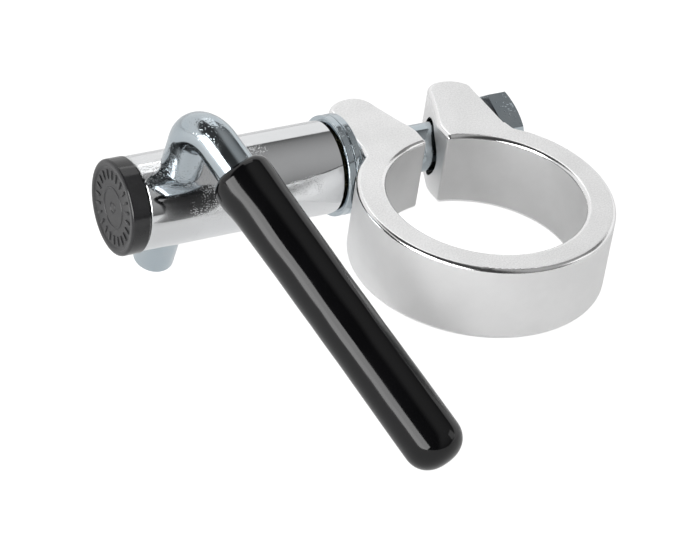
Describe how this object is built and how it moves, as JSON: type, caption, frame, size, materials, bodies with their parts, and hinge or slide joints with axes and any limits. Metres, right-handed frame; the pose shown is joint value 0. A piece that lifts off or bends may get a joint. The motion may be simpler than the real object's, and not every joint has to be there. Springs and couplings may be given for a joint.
{
  "type": "pipe clamp",
  "caption": "Split ring clamp for a round tube, drawn shut by a bolt and a long chromed barrel nut turned by a bent lever with a dipped grip.",
  "frame": {"origin": "centre of the tube bore, half way up the ring", "axes": "+Z along the clamped tube, +X along the clamp bolt towards its hexagonal head, +Y from the bore towards the bolt lugs"},
  "size_m": [0.1126, 0.1006, 0.0564],
  "materials": {
    "cast_aluminium": "fine tumbled satin with polished edges",
    "zinc_steel": "bright zinc plate, slightly blue",
    "dark_steel": "blackened spring steel",
    "chrome": "bright chrome over lightly pitted steel",
    "black_cap_plastic": "black satin moulding",
    "black_vinyl": "glossy dipped vinyl",
    "nylon": "natural nylon",
    "brass": "machined"
  },
  "bodies": {
    "clamp": {"clamp_ring": "cast_aluminium", "clamp_bolt": "zinc_steel", "head_lock_washer": "dark_steel"},
    "seat_washer": {"seat_washer": "zinc_steel"},
    "travel_washer": {"thrust_washer": "zinc_steel"},
    "handle": {"handle_barrel": "chrome", "threaded_bush": "brass", "end_cap": "black_cap_plastic", "friction_plug": "nylon", "plug_spring": "dark_steel"},
    "lever": {"lever_rod": "zinc_steel", "lever_grip": "black_vinyl"}
  },
  "joints": [
    {"name": "barrel_travel", "type": "slide", "parent": "clamp", "child": "travel_washer", "axis": [-1, 0, 0], "range_m": [0, 0.0072]},
    {"name": "barrel_turn", "type": "hinge", "parent": "travel_washer", "child": "handle", "pos_m": [0, 0.0345, 0], "axis": [-1, 0, 0], "range_deg": [0, 1440]},
    {"name": "lever_swivel", "type": "hinge", "parent": "handle", "child": "lever", "pos_m": [-0.0656, 0.0345, 0], "axis": [0, -0.2605, 0.9655], "range_deg": [-180, 10]},
    {"name": "seat_washer_turn", "type": "hinge", "parent": "clamp", "child": "seat_washer", "pos_m": [0, 0.0345, 0], "axis": [1, 0, 0], "continuous": true}
  ],
  "couplings": [
    {"joint": "barrel_travel", "follows": "barrel_turn", "m_per_rad": 0.00027852}
  ]
}
